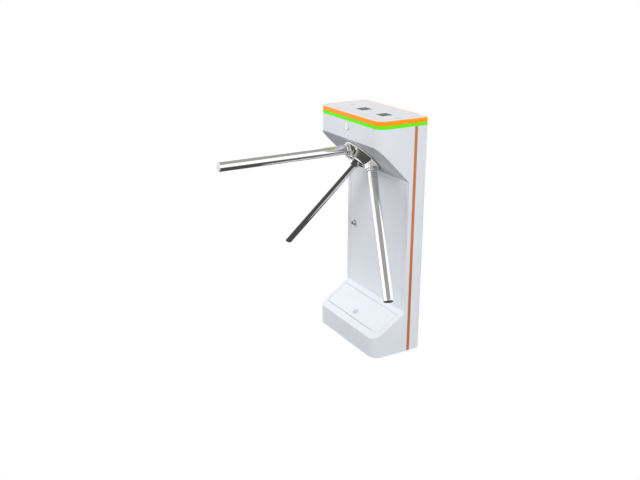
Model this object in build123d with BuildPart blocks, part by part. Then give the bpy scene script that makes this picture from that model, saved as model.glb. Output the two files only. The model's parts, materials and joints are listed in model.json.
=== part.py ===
from build123d import *
from math import acos, atan2, cos, pi, radians, sin, sqrt, tan
import os

# Waist-high tripod turnstile for a museum entrance.
# Millimetres. +Z up, +X along the passage, -Y towards the arms.
# The origin is the centre of the floor anchor pattern, on the floor.

# ---- cabinet, overall ----
cabinet_height = 980.0
cabinet_length = 445.0        # along X
cabinet_depth = 232.0         # along Y
front_corner_r = 42.0
rear_corner_r = 18.0
wall = 2.0                    # sheet steel

# ---- head, recess and foot ----
recess_depth = 147.5          # from the front face back to the door
head_front_height = 102.0     # front face of the head, up to the very top
foot_crest_height = 177.0     # where the foot's slope meets the recess
foot_slope_deg = 32.0
foot_edge_r = 7.0

# ---- lid, light ring and seams ----
rim_height = 16.7
rim_band = 5.0                # width of the rim seen from above
rim_ledge = 4.0
rim_bevel = 2.6
plate_thickness = 4.8
plate_drop = 0.7              # top plate below the rim's edge
light_height = 13.0
light_width = 9.0
light_board_gap = 0.2         # behind the light ring
light_board_thickness = 2.8
light_board_height = 10.0
lid_gap = 0.3                 # lid above the light ring
strip_width = 14.0
strip_setback = 60.3          # centre of the seam strip, from the back face
strip_gap = 0.2
strip_tongue_width = 24.0
window_side = 50.0
window_thickness = 3.0
window_ledge = 4.0            # carries each window along its edges
window_places = (-48.0, 96.0)
window_y = -8.0

# ---- frame ----
base_thickness = 6.0
base_gap = 0.5
anchor_spacing_x = 340.0
anchor_spacing_y = 150.0
anchor_hole_r = 7.0
cable_hole_r = 30.0
post_width = 22.0
post_depth = 40.0
post_wall = 2.0
post_setback = 20.0           # behind the door's outer face
frame_width = 14.0
frame_height = 12.0
tray_thickness = 2.0
tray_from_door_low = 61.0
tray_from_door_high = 26.0

# ---- door and foot cover ----
door_side_margin = 23.5       # from the cabinet's end to the door's edge
door_above_crest = 12.0
door_below_slant = 14.5
door_thickness = 1.6
panel_gap = 1.5
stiffener_depth = 10.0
hinge_side_inset = 20.0
cover_side_margin = 25.0
cover_from_crest = 26.0
cover_from_edge = 33.4        # from the slope's lower end, along the slope
cover_corner_r = 20.0
cover_hinge_play = 0.4        # each side of the cover's hinge barrel, in its slot

# ---- locks ----
lock_bezel_r = 13.0
lock_bezel_height = 2.6
lock_body_r = 9.4
lock_plug_r = 5.95
lock_tail_r = 4.0
cam_thickness = 2.5
cam_width = 12.0
running_gap = 0.05            # radial, between a turning piece and its hole
clearance = 0.3               # between pieces that move past each other
head_lock_drop = 55.0         # below the cabinet's top
head_lock_depth = 24.0
head_cam_length = 28.0
catch_thickness = 2.5
catch_flange = 17.5
door_lock_in = 31.0           # from the door's edge
door_lock_lift = 4.5          # above the door's middle
door_lock_depth = 12.0
door_cam_length = 43.0
cover_lock_in = 27.0          # from the cover's lower edge
cover_lock_depth = 14.0
cover_cam_length = 33.0

# ---- tripod ----
apex_depth = 43.0             # where the three arm axes meet, behind the slanted face
cone_half_angle = 45.0
arm_r = 19.0
arm_wall = 2.0
arm_start = 86.0              # from the apex, inside the hub
arm_reach = 656.0             # from the apex to the tip of the cap
arm_cap_height = 5.0
arm_plug_length = 14.0
boss_across_flats = 49.0
boss_end = 104.0
boss_start = 56.0
collar_r = 22.5
collar_end = 113.0
hub_gap = 1.0                 # hub above the slanted face
hub_disc_r = 88.0
hub_disc_height = 7.0
hub_cone_r = 68.0
hub_cone_top_r = 42.0
hub_height = 34.0
hub_cap_r = 36.0
hub_cap_height = 6.0
seat_ring_gap = 0.8
seat_ring_width = 4.0
seat_ring_height = 2.0

# ---- mechanism, measured from the slanted face inwards ----
shaft_r = 15.0
shaft_length_inside = 112.0
housing_plate = (178.0, 168.0, 8.0)
housing_r = 36.0
housing_length = 60.0
bearing_r = 26.0
bearing_width = 14.0
hub_hole_r = 32.0
index_r = 56.0
index_from = 72.0
index_thickness = 10.0
roller_r = 9.0
roller_seat_r = 10.0
roller_seat_out = 4.0         # the seat's centre outside the disc's rim
pawl_thickness = 8.0
pawl_pivot_out = 14.0         # the pawl's pivot outside the disc's rim
pawl_pivot_y = -46.0
pawl_pin_r = 4.0
pawl_tail_length = 24.0
pawl_boss_r = 8.25
pawl_half = 6.5               # half widths of the pawl's arm and of its tail's end
pawl_tail_half = 5.0
pawl_throat = 3.5             # undercut behind the nose
pawl_nose_back = 12.0
pawl_nose_width = 9.0
pawl_lift = 1.0
notch_depth = 8.0
notch_play = 3.0              # on each side of a pawl's nose
solenoid_size = (34.0, 24.0, 24.0)
solenoid_from_rim = 28.0      # the solenoid's inner end, inside the disc's rim
plunger_r = 4.0
plunger_offset = 1.5          # the plunger's axis above the end of the pawl's tail
lever_pivot_x = 52.0
lever_pivot_in = 2.6          # the lever's pivot below its roller's centre
roller_lift = 0.6             # the roller above the disc's rim
lever_thickness = 4.0
lever_width = 13.0
lever_pin_r = 5.0
lever_pin_end = 14.0          # the pin beyond the lever, for its spring
roller_pin_r = 3.0
spring_wire_r = 1.3
spring_turns = 4
gear_module = 2.0
gear_teeth = 48
pinion_teeth = 16
gear_thickness = 8.0
gear_from = 88.0
gear_backlash = 0.30
pressure_angle = 20.0
damper_r = 22.0
damper_length = 52.0
pinion_shaft_r = 5.0

# ---- places worked out from the sizes above ----
cover_hinge_r = wall + 0.2    # so that the barrel reaches its leaves under the wall
hinge_gap = 2 * (cover_hinge_r + cover_hinge_play)
solenoid_inner_x = index_r - solenoid_from_rim
front_y = -cabinet_depth / 2
rear_y = cabinet_depth / 2
end_x = cabinet_length / 2
recess_y = front_y + recess_depth
shell_top = cabinet_height - rim_height - lid_gap - light_height
slant_sum = front_y + cabinet_height - head_front_height   # y + z on the slanted face
recess_top = slant_sum - recess_y
slope_tan = tan(radians(foot_slope_deg))
strip_y = rear_y - strip_setback
face_y = (front_y + recess_y) / 2
face_z = slant_sum - face_y
rim_low = cabinet_height - rim_height
ledge_z = cabinet_height - plate_drop - plate_thickness
post_x = end_x - 2 * wall - post_width / 2
post_front_y = recess_y + post_setback
frame_low = shell_top - frame_height
tray_y = post_front_y + post_depth
door_width = cabinet_length - 2 * door_side_margin
door_low = foot_crest_height + door_above_crest
door_high = recess_top - door_below_slant
door_mid_z = (door_low + door_high) / 2
door_height = door_high - door_low
tray_low = door_low + tray_from_door_low
tray_high = door_high - tray_from_door_high
slope_length = recess_depth / cos(radians(foot_slope_deg))
cover_width = cabinet_length - 2 * cover_side_margin
cover_length = slope_length - cover_from_crest - cover_from_edge

# The hub's plane lies on the slanted face: local +Z points down and forward along
# the hub's axis, local +Y points up the slanted face, towards the front.
hub_plane = Plane(origin=(0, face_y, face_z), x_dir=(1, 0, 0), z_dir=(0, -1, -1))

# The foot's plane lies on its sloped top: local +Y points up the slope.
foot_plane = Plane(
    origin=(0, recess_y, foot_crest_height),
    x_dir=(1, 0, 0),
    z_dir=(0, -sin(radians(foot_slope_deg)), cos(radians(foot_slope_deg))),
)

# The recess plane lies on the door's outer face: local +Y points up.
door_plane = Plane(origin=(0, recess_y, 0), x_dir=(1, 0, 0), z_dir=(0, -1, 0))

pieces = {}


def keep(name, builder):
    # files a finished piece under its name, to be labelled and written at the end
    pieces[name] = builder


def plan_outline(inset):
    # the cabinet's plan, shrunk by inset: large corners in front, small ones behind
    with BuildSketch() as plan:
        Rectangle(cabinet_length - 2 * inset, cabinet_depth - 2 * inset)
        fillet(plan.vertices().group_by(Axis.Y)[0], front_corner_r - inset)
        fillet(plan.vertices().group_by(Axis.Y)[-1], max(rear_corner_r - inset, 1.0))
    return plan.sketch


def ring_between(outer_inset, inner_inset, low, high):
    # a ring that follows the cabinet's plan
    with BuildPart() as ring:
        with BuildSketch(Plane.XY.offset(low)):
            add(plan_outline(outer_inset))
            add(plan_outline(inner_inset), mode=Mode.SUBTRACT)
        extrude(amount=high - low)
    return ring


def cabinet_form(inset, low, high):
    # the whole cabinet as a solid, every face moved inwards by inset
    reach = cabinet_depth * 2
    back = recess_y + inset
    slant = slant_sum + inset * sqrt(2)
    crest = foot_crest_height + (back - recess_y) * slope_tan - inset / cos(radians(foot_slope_deg))
    with BuildPart() as form:
        with BuildSketch(Plane.XY.offset(low)):
            add(plan_outline(inset))
        extrude(amount=high - low)
        with BuildSketch(Plane.YZ):
            with BuildLine():
                Polyline(
                    (back - reach, slant - back + reach),
                    (back, slant - back),
                    (back, crest),
                    (back - reach, crest - reach * slope_tan),
                    close=True,
                )
            make_face()
        extrude(amount=cabinet_length, both=True, mode=Mode.SUBTRACT)
    return form


def drill(plane, radius, depth, places=((0, 0),)):
    # a plain round hole through the part that is being built
    with BuildSketch(plane) as profile:
        with Locations(*places):
            Circle(radius)
    extrude(profile.sketch, amount=depth, both=True, mode=Mode.SUBTRACT)


def block(plane, low, high, mode=Mode.ADD):
    # a box between two corners in a plane's own axes
    with BuildSketch(plane.offset(low[2])) as profile:
        with Locations(((low[0] + high[0]) / 2, (low[1] + high[1]) / 2)):
            Rectangle(high[0] - low[0], high[1] - low[1])
    extrude(profile.sketch, amount=high[2] - low[2], mode=mode)


def disc(plane, radius, low, high, place=(0, 0), mode=Mode.ADD):
    # a round bar along a plane's normal
    with BuildSketch(plane.offset(low)) as profile:
        with Locations(place):
            Circle(radius)
    extrude(profile.sketch, amount=high - low, mode=mode)


def turned(plane, degrees):
    # the same plane turned about its own normal
    turn = radians(degrees)
    return Plane(
        origin=plane.origin, x_dir=plane.x_dir * cos(turn) + plane.y_dir * sin(turn), z_dir=plane.z_dir
    )


# ==== locks ====
def make_lock(name, plane, depth, cam_length, cam_deg, panel):
    # a cam lock: barrel in the panel, key plug in the barrel, cam on the plug's tail
    with BuildPart() as barrel:
        disc(plane, lock_bezel_r, 0, lock_bezel_height)
        disc(plane, lock_body_r, -depth, 0)
        chamfer(barrel.faces().sort_by(Axis(plane.origin, plane.z_dir))[-1].edges(), 0.8)
        disc(plane, lock_body_r + 3.0, -panel - 4.0, -panel)
        disc(plane, lock_plug_r + running_gap, -depth, lock_bezel_height, mode=Mode.SUBTRACT)
    keep(name + "_barrel", barrel)
    with BuildPart() as plug:
        disc(plane, lock_plug_r, -depth, lock_bezel_height - 0.4)
        disc(plane, lock_tail_r, -depth - clearance - cam_thickness - 1.5, -depth)
        block(plane, (-0.6, -4.2, lock_bezel_height - 4.4), (0.6, 4.2, lock_bezel_height), Mode.SUBTRACT)
    keep(name + "_plug", plug)
    cam_top = -depth - clearance
    cam_plane = turned(plane, cam_deg).offset(cam_top - cam_thickness)
    with BuildPart() as cam:
        with BuildSketch(cam_plane):
            with Locations(((cam_length - cam_width / 2) / 2, 0)):
                SlotCenterToCenter(cam_length - cam_width / 2, cam_width)
            Circle(lock_tail_r, mode=Mode.SUBTRACT)
        extrude(amount=cam_thickness)
    keep(name + "_cam", cam)


head_lock_height = cabinet_height - head_lock_drop
door_lock_x = -door_width / 2 + door_lock_in
door_lock_z = door_mid_z + door_lock_lift
cover_lock_from_crest = cover_from_crest + cover_length - cover_lock_in
head_lock_plane = Plane(origin=(0, front_y, head_lock_height), x_dir=(1, 0, 0), z_dir=(0, -1, 0))
door_lock_plane = Plane(origin=(door_lock_x, recess_y, door_lock_z), x_dir=(1, 0, 0), z_dir=(0, -1, 0))
cover_lock_plane = Plane(
    origin=foot_plane.from_local_coords((0, -cover_lock_from_crest, 0)),
    x_dir=foot_plane.x_dir,
    z_dir=foot_plane.z_dir,
)
make_lock("head_lock", head_lock_plane, head_lock_depth, head_cam_length, 90, wall)
make_lock("door_lock", door_lock_plane, door_lock_depth, door_cam_length, 90, door_thickness)
make_lock("cover_lock", cover_lock_plane, cover_lock_depth, cover_cam_length, 0, door_thickness)


# ==== hinges ====
def make_hinge(name, plane, places, knuckle_r, pin_r, width, base_leaf, wing_leaf):
    # lift-off hinges along a plane's local X: the base half carries the pin, the wing
    # half turns on it. A leaf is (length along local Y, lowest z, highest z).
    with BuildPart() as base:
        for place in places:
            along = Plane(plane.from_local_coords((place, 0, 0)), x_dir=plane.z_dir, z_dir=plane.x_dir)
            disc(along, knuckle_r, -width, -clearance / 2)
            flat = Plane(along.origin, x_dir=plane.x_dir, z_dir=plane.z_dir)
            low, high = sorted((0.0, base_leaf[0]))
            block(flat, (-width, low, base_leaf[1]), (-clearance / 2, high, base_leaf[2]))
            disc(along, pin_r, -width, width - 1.0)
    keep(name + "_hinge_base", base)
    with BuildPart() as wing:
        for place in places:
            along = Plane(plane.from_local_coords((place, 0, 0)), x_dir=plane.z_dir, z_dir=plane.x_dir)
            disc(along, knuckle_r, clearance / 2, width)
            flat = Plane(along.origin, x_dir=plane.x_dir, z_dir=plane.z_dir)
            low, high = sorted((0.0, wing_leaf[0]))
            block(flat, (clearance / 2, low, wing_leaf[1]), (width, high, wing_leaf[2]))
            disc(along, pin_r + running_gap, clearance / 2, width, mode=Mode.SUBTRACT)
    keep(name + "_hinge_wing", wing)


lid_hinge_r = 3.0
lid_hinge_out = 3.2           # the lid hinge's axis behind the rear face
lid_leaf = 1.5
lid_hinge_places = (-140.0, 140.0)
lid_axis = (rear_y + lid_hinge_out, rim_low - lid_gap / 2)
make_hinge(
    "lid",
    Plane(origin=(0, lid_axis[0], lid_axis[1]), x_dir=(-1, 0, 0), z_dir=(0, 1, 0)),
    lid_hinge_places, lid_hinge_r, 1.5, 20.0,
    (-20.0, -lid_hinge_out, lid_leaf - lid_hinge_out),
    (15.0, -lid_hinge_out, lid_leaf - lid_hinge_out),
)

door_hinge_r = 3.0
door_hinge_in = 5.0           # the door hinge's axis behind the door's outer face
door_hinge_edge = 6.0         # and from the door's edge
door_axis = (door_width / 2 - door_hinge_edge, recess_y + door_hinge_in)
make_hinge(
    "door",
    Plane(origin=(door_axis[0], door_axis[1], door_mid_z), x_dir=(0, 0, 1), z_dir=(0, -1, 0)),
    (-door_height / 2 + 70.0, door_height / 2 - 70.0), door_hinge_r, 1.8, 24.0,
    (-(end_x - wall - door_axis[0]), -1.0, 1.0),
    (14.0, door_hinge_in - door_thickness - 1.5, door_hinge_in - door_thickness),
)

# a continuous hinge: pairs of knuckles side by side along the whole cover
cover_axis_y = -cover_from_crest + hinge_gap / 2
cover_hinge_pairs = 6
cover_knuckle = cover_width / cover_hinge_pairs / 2
make_hinge(
    "cover",
    Plane(foot_plane.from_local_coords((0, cover_axis_y, 0)), x_dir=foot_plane.x_dir, z_dir=foot_plane.z_dir),
    [cover_knuckle * (2 * pair + 1 - cover_hinge_pairs) for pair in range(cover_hinge_pairs)],
    cover_hinge_r, 1.1, cover_knuckle - clearance / 2,
    (14.0, -wall - 1.0, -wall),
    (-14.0, -door_thickness - 1.0, -door_thickness),
)


# ==== shells ====
def cover_outline(grow):
    # the foot cover's outline on the slope, grown by grow on every side
    with BuildSketch() as outline:
        with Locations((0, -cover_from_crest - cover_length / 2)):
            Rectangle(cover_width + 2 * grow, cover_length + 2 * grow)
        fillet(outline.vertices().group_by(Axis.Y)[0], cover_corner_r + grow)
    return outline.sketch_local


edge_point = Vector(0, front_y, foot_crest_height - recess_depth * slope_tan)
with BuildPart() as outer_form:
    add(cabinet_form(0, 0, shell_top).part)
    fillet(outer_form.edges().sort_by_distance(edge_point)[0], foot_edge_r)

opening_x = door_width / 2 + panel_gap
opening_low = door_low - panel_gap
opening_high = door_high + panel_gap
stop_edge = 6.0               # how far the door's stop laps each side of the opening's edge
stop_end = 30.0               # the stop leaves the hinge side free
with BuildPart() as shell:
    add(outer_form.part)
    add(cabinet_form(wall, -1, shell_top + 1).part, mode=Mode.SUBTRACT)
    # door opening, with a stop behind all but its hinge side
    block(door_plane, (-opening_x, opening_low, -wall - 1), (opening_x, opening_high, 1), Mode.SUBTRACT)
    stop_left = -opening_x - stop_edge
    stop_right = opening_x - stop_end
    stop_low = opening_low - stop_edge
    stop_high = opening_high + stop_edge
    for low, high in (
        ((stop_left, stop_low), (-opening_x + stop_edge, stop_high)),
        ((stop_left, stop_low), (stop_right, opening_low + stop_edge)),
        ((stop_left, opening_high - stop_edge), (stop_right, stop_high)),
    ):
        block(door_plane, (*low, -wall - 1.5), (*high, -wall))
    # foot opening, widened at its upper edge for the cover's hinge
    with BuildSketch(foot_plane):
        add(cover_outline(panel_gap))
    extrude(amount=wall + 1, both=True, mode=Mode.SUBTRACT)
    block(
        foot_plane,
        (-cover_width / 2 - panel_gap, -cover_from_crest - 1, -wall - 1),
        (cover_width / 2 + panel_gap, -cover_from_crest + hinge_gap, 1),
        Mode.SUBTRACT,
    )
    drill(hub_plane, hub_hole_r, wall + 1)
    drill(head_lock_plane, lock_body_r, wall + 1)

seam_half = strip_width / 2
with BuildPart() as front_shell:
    add(shell.part)
    split(bisect_by=Plane.XZ.offset(-(strip_y - seam_half)), keep=Keep.TOP)
keep("front_shell", front_shell)

with BuildPart() as rear_shell:
    add(shell.part)
    split(bisect_by=Plane.XZ.offset(-(strip_y + seam_half)), keep=Keep.BOTTOM)
keep("rear_shell", rear_shell)

for side, name in ((-1, "side_strip_left"), (1, "side_strip_right")):
    # a T section: the visible band, and a tongue behind both shells' edges
    with BuildPart() as strip:
        band = seam_half - strip_gap
        tongue = strip_tongue_width / 2
        skin = end_x - wall
        for half, near, far, low, high in (
            (band, skin, end_x, 0.0, shell_top),
            (tongue, skin - wall, skin, base_thickness + base_gap, frame_low - base_gap),
        ):
            low_x, high_x = sorted((side * near, side * far))
            block(Plane.XY, (low_x, strip_y - half, low), (high_x, strip_y + half, high))
    keep(name, strip)

# ==== frame ====
with BuildPart() as base_plate:
    with BuildSketch():
        add(plan_outline(wall + base_gap))
    extrude(amount=base_thickness)
    with BuildSketch():
        with GridLocations(anchor_spacing_x, anchor_spacing_y, 2, 2):
            Circle(anchor_hole_r)
    extrude(amount=base_thickness, mode=Mode.SUBTRACT)
    drill(Plane.XY, cable_hole_r, base_thickness)
keep("base_plate", base_plate)

with BuildPart() as frame_posts:
    for side in (-1, 1):
        # a channel, open towards the middle of the cabinet
        outside = (post_x - post_width / 2, post_x + post_width / 2)
        low_x, high_x = sorted((side * outside[0], side * outside[1]))
        block(Plane.XY, (low_x, post_front_y, base_thickness), (high_x, tray_y, frame_low))
        low_x, high_x = sorted((side * (outside[0] - 1), side * (outside[1] - post_wall)))
        block(
            Plane.XY,
            (low_x, post_front_y + post_wall, base_thickness - 1),
            (high_x, tray_y - post_wall, frame_low + 1),
            Mode.SUBTRACT,
        )
keep("frame_posts", frame_posts)

keep("head_frame", ring_between(wall, wall + frame_width, frame_low, shell_top))
keep("light_ring", ring_between(0, light_width, shell_top, shell_top + light_height))
board_in = light_width + light_board_gap
keep(
    "light_board",
    ring_between(board_in, board_in + light_board_thickness, shell_top, shell_top + light_board_height),
)

# ==== lid ====
with BuildPart() as top_rim:
    add(ring_between(0, rim_band, rim_low, cabinet_height).part)
    chamfer(top_rim.faces().sort_by(Axis.Z)[-1].outer_wire().edges(), rim_bevel)
    add(ring_between(rim_band, rim_band + rim_ledge, rim_low, ledge_z).part)
keep("top_rim", top_rim)

window_at = [(x, window_y) for x in window_places]
window_fit = 0.2              # gap round each reader window
with BuildPart() as top_plate:
    with BuildSketch(Plane.XY.offset(ledge_z)):
        add(plan_outline(rim_band + window_fit))
    extrude(amount=plate_thickness)
    with BuildSketch(Plane.XY.offset(ledge_z + plate_thickness)):
        with Locations(*window_at):
            Rectangle(window_side + 2 * window_fit, window_side + 2 * window_fit)
    extrude(amount=-window_thickness, mode=Mode.SUBTRACT)
    with BuildSketch(Plane.XY.offset(ledge_z + plate_thickness)):
        with Locations(*window_at):
            Rectangle(window_side - 2 * window_ledge, window_side - 2 * window_ledge)
    extrude(amount=-plate_thickness, mode=Mode.SUBTRACT)
keep("top_plate", top_plate)

with BuildPart() as reader_windows:
    with BuildSketch(Plane.XY.offset(ledge_z + plate_thickness - window_thickness)):
        with Locations(*window_at):
            RectangleRounded(window_side, window_side, 1.5)
    extrude(amount=window_thickness)
keep("reader_windows", reader_windows)

reader_size = (86.0, 62.0, 16.0)
with BuildPart() as reader_modules:
    with Locations(*[(x, y, ledge_z - reader_size[2] / 2) for x, y in window_at]):
        Box(*reader_size)
    fillet(reader_modules.edges().filter_by(Axis.Z), 4)
    chamfer(reader_modules.faces().sort_by(Axis.Z)[0].edges(), 1)
keep("reader_modules", reader_modules)

catch_x = (lock_tail_r + 10.0, head_cam_length + 6.0)
catch_front = front_y + head_lock_depth - 0.5
catch_web = front_y + head_lock_depth + 4.0
catch_back = catch_web + catch_thickness
catch_low = head_lock_height - cam_width / 2 - 8.0
with BuildPart() as lid_catch:
    # hangs from the top plate: a hook below the cam, a web, and a flange under the plate
    block(Plane.XY, (catch_x[0], catch_web, catch_low), (catch_x[1], catch_back, ledge_z))
    block(Plane.XY, (catch_x[0], catch_front, catch_low), (catch_x[1], catch_web, catch_low + 3.0))
    block(
        Plane.XY,
        (catch_x[0], catch_back, ledge_z - catch_thickness),
        (catch_x[1], catch_back + catch_flange, ledge_z),
    )
keep("lid_catch", lid_catch)

# ==== door and foot cover ====
with BuildPart() as door_panel:
    half = door_width / 2
    block(door_plane, (-half, door_low, -door_thickness), (half, door_high, 0))
    # folded stiffener, clear of the hinges and of the stop
    ring_low = (-half + stop_edge + 6.0, door_low + stop_edge + 6.0)
    ring_high = (half - hinge_side_inset, door_high - stop_edge - 6.0)
    back = -door_thickness - stiffener_depth
    block(door_plane, (*ring_low, back), (*ring_high, -door_thickness))
    block(
        door_plane,
        (ring_low[0] + door_thickness, ring_low[1] + door_thickness, back - 1),
        (ring_high[0] - door_thickness, ring_high[1] - door_thickness, -door_thickness),
        Mode.SUBTRACT,
    )
    drill(door_lock_plane, lock_body_r, door_thickness + 1)
keep("door_panel", door_panel)

with BuildPart() as foot_cover:
    with BuildSketch(foot_plane.offset(-door_thickness)):
        add(cover_outline(0))
    extrude(amount=door_thickness)
    drill(cover_lock_plane, lock_body_r, door_thickness + 1)
keep("foot_cover", foot_cover)

# ==== tripod ====
apex = hub_plane.from_local_coords((0, 0, -apex_depth))
arm_angles = (90.0, 210.0, 330.0)


def arm_plane(angle):
    # local +Z runs out along an arm from the apex, local +X runs across it, level with the hub
    tilt = radians(cone_half_angle)
    turn = radians(angle)
    outwards = hub_plane.x_dir * cos(turn) + hub_plane.y_dir * sin(turn)
    across = hub_plane.y_dir * cos(turn) - hub_plane.x_dir * sin(turn)
    return Plane(origin=apex, x_dir=across, z_dir=outwards * sin(tilt) + hub_plane.z_dir * cos(tilt))


arm_planes = [arm_plane(angle) for angle in arm_angles]

with BuildPart() as tripod_hub:
    disc(hub_plane, hub_disc_r, hub_gap, hub_gap + hub_disc_height)
    chamfer(tripod_hub.edges().group_by(Axis(hub_plane.origin, hub_plane.z_dir))[-1], 1.5)
    with BuildSketch(hub_plane.offset(hub_gap + hub_disc_height)):
        Circle(hub_cone_r)
    with BuildSketch(hub_plane.offset(hub_height)):
        Circle(hub_cone_top_r)
    loft()
    for plane in arm_planes:
        with BuildSketch(plane.offset(boss_start)):
            RegularPolygon(boss_across_flats / 2, 6, major_radius=False)
        extrude(amount=boss_end - boss_start)
    # trim what the bosses push through the hub's back
    disc(hub_plane, hub_disc_r * 2, -apex_depth * 2, hub_gap, mode=Mode.SUBTRACT)
    for plane in arm_planes:
        disc(plane, arm_r, arm_start - 2, boss_end + 1, mode=Mode.SUBTRACT)
    disc(hub_plane, shaft_r, 0, hub_height, mode=Mode.SUBTRACT)
keep("tripod_hub", tripod_hub)

with BuildPart() as hub_cap:
    disc(hub_plane, hub_cap_r, hub_height, hub_height + hub_cap_height)
    fillet(hub_cap.faces().sort_by(Axis(hub_plane.origin, hub_plane.z_dir))[-1].edges(), hub_cap_height - 1.5)
    disc(hub_plane, shaft_r - 0.2, hub_height - 3.0, hub_height)
keep("hub_cap", hub_cap)

tube_end = arm_reach - arm_cap_height
for number, plane in enumerate(arm_planes, 1):
    with BuildPart() as arm_tube:
        disc(plane, arm_r, arm_start, tube_end)
        disc(plane, arm_r - arm_wall, arm_start - 1, tube_end + 1, mode=Mode.SUBTRACT)
    keep(f"arm_tube_{number}", arm_tube)

with BuildPart() as arm_caps:
    for plane in arm_planes:
        disc(plane, arm_r, tube_end, arm_reach)
    tips = [edge for edge in arm_caps.edges().filter_by(GeomType.CIRCLE)]
    tips = [edge for edge in tips if (edge.arc_center - apex).length > arm_reach - 0.5]
    fillet(tips, 2.0)
    for plane in arm_planes:
        disc(plane, arm_r - arm_wall, tube_end - arm_plug_length, tube_end)
keep("arm_caps", arm_caps)

with BuildPart() as arm_collars:
    for plane in arm_planes:
        disc(plane, collar_r, boss_end, collar_end)
    rims = [edge for edge in arm_collars.edges().filter_by(GeomType.CIRCLE)]
    chamfer([edge for edge in rims if (edge.arc_center - apex).length > collar_end - 0.5], 1.5)
    for plane in arm_planes:
        disc(plane, arm_r, boss_end - 1, collar_end + 1, mode=Mode.SUBTRACT)
keep("arm_collars", arm_collars)

with BuildPart() as hub_seat:
    seat_r = hub_disc_r + seat_ring_gap
    disc(hub_plane, seat_r + seat_ring_width, 0, seat_ring_height)
    disc(hub_plane, seat_r, 0, seat_ring_height, mode=Mode.SUBTRACT)
keep("hub_seat", hub_seat)

# ==== mechanism, in the hub's plane ====
plate_top = -wall
plate_back = plate_top - housing_plate[2]
housing_back = plate_back - housing_length
index_back = -index_from - index_thickness
pawl_back = -index_from - (index_thickness - pawl_thickness) / 2 - pawl_thickness
pawl_front = pawl_back + pawl_thickness
gear_back = -gear_from - gear_thickness
bolt_r = 4.0
bolt_at = (housing_plate[0] / 2 - 10, housing_plate[1] / 2 - 10)
pawl_pivot = (index_r + pawl_pivot_out, pawl_pivot_y)
nose_tip = index_r + pawl_lift
pawl_lean = atan2(-pawl_pivot[1], nose_tip + pawl_nose_width / 2 - pawl_pivot[0])
pawl_tail = (
    pawl_pivot[0] - pawl_tail_length * cos(pawl_lean),
    pawl_pivot[1] - pawl_tail_length * sin(pawl_lean),
)
solenoid_y = pawl_tail[1] + plunger_offset
solenoid_z = (pawl_front + pawl_back) / 2
roller_y = index_r + roller_r + roller_lift
lever_pivot = (lever_pivot_x, roller_y - lever_pivot_in)
lever_low = -gear_from + clearance
post_r = 7.0
pinion_centre = (0.0, -gear_module * (gear_teeth + pinion_teeth) / 2)
damper_front = plate_back
damper_back = plate_back - damper_length
pinion_end = plate_back - 20.0

with BuildPart() as mechanism_housing:
    with BuildSketch(hub_plane.offset(plate_back)):
        RectangleRounded(housing_plate[0], housing_plate[1], 10)
    extrude(amount=housing_plate[2])
    disc(hub_plane, housing_r, housing_back, plate_back)
    for turn in range(0, 360, 90):
        # ribs between the plate and the bearing housing
        rib = turned(hub_plane, turn + 45)
        block(rib, (housing_r - 4, -3, plate_back - 26), (housing_r + 24, 3, plate_back))
    disc(hub_plane, bearing_r, housing_back, plate_top, mode=Mode.SUBTRACT)
    for side in (-1, 1):
        pivot = (side * pawl_pivot[0], pawl_pivot[1])
        disc(hub_plane, post_r, pawl_front + clearance, plate_back, pivot)
        disc(hub_plane, pawl_pin_r, pawl_back - 1.5, pawl_front + clearance, pivot)
        foot = (side * (solenoid_inner_x + solenoid_size[0] / 2), solenoid_y - 4)
        disc(hub_plane, post_r, solenoid_z + solenoid_size[2] / 2, plate_back, foot)
    lever_front = lever_low + lever_thickness
    disc(hub_plane, post_r + 1, lever_front + clearance, plate_back, lever_pivot)
    disc(hub_plane, lever_pin_r, lever_low - lever_pin_end, lever_front + clearance, lever_pivot)
    with BuildSketch(hub_plane.offset(plate_top)):
        with GridLocations(2 * bolt_at[0], 2 * bolt_at[1], 2, 2):
            Circle(bolt_r)
    extrude(amount=-housing_plate[2], mode=Mode.SUBTRACT)
keep("mechanism_housing", mechanism_housing)

with BuildPart() as housing_bolts:
    with BuildSketch(hub_plane.offset(plate_back)):
        with GridLocations(2 * bolt_at[0], 2 * bolt_at[1], 2, 2):
            Circle(bolt_r)
    extrude(amount=housing_plate[2])
    with BuildSketch(hub_plane.offset(plate_back)):
        with GridLocations(2 * bolt_at[0], 2 * bolt_at[1], 2, 2):
            RegularPolygon(bolt_r * 1.6, 6, major_radius=False)
    extrude(amount=-5.5)
keep("housing_bolts", housing_bolts)

for name, far in (("bearing_front", plate_back - bearing_width), ("bearing_rear", housing_back)):
    with BuildPart() as bearing:
        disc(hub_plane, bearing_r, far, far + bearing_width)
        disc(hub_plane, shaft_r + running_gap, far, far + bearing_width, mode=Mode.SUBTRACT)
        for level in (far, far + bearing_width - 1.0):
            # shallow groove between the races on both faces
            disc(hub_plane, shaft_r + 8.0, level, level + 1.0, mode=Mode.SUBTRACT)
            disc(hub_plane, shaft_r + 4.0, level, level + 1.0)
            disc(hub_plane, shaft_r + running_gap, level, level + 1.0, mode=Mode.SUBTRACT)
    keep(name, bearing)

with BuildPart() as main_shaft:
    disc(hub_plane, shaft_r, -shaft_length_inside, hub_height - 3.0)
    chamfer(main_shaft.faces().sort_by(Axis(hub_plane.origin, hub_plane.z_dir))[0].edges(), 1.5)
keep("main_shaft", main_shaft)

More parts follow.
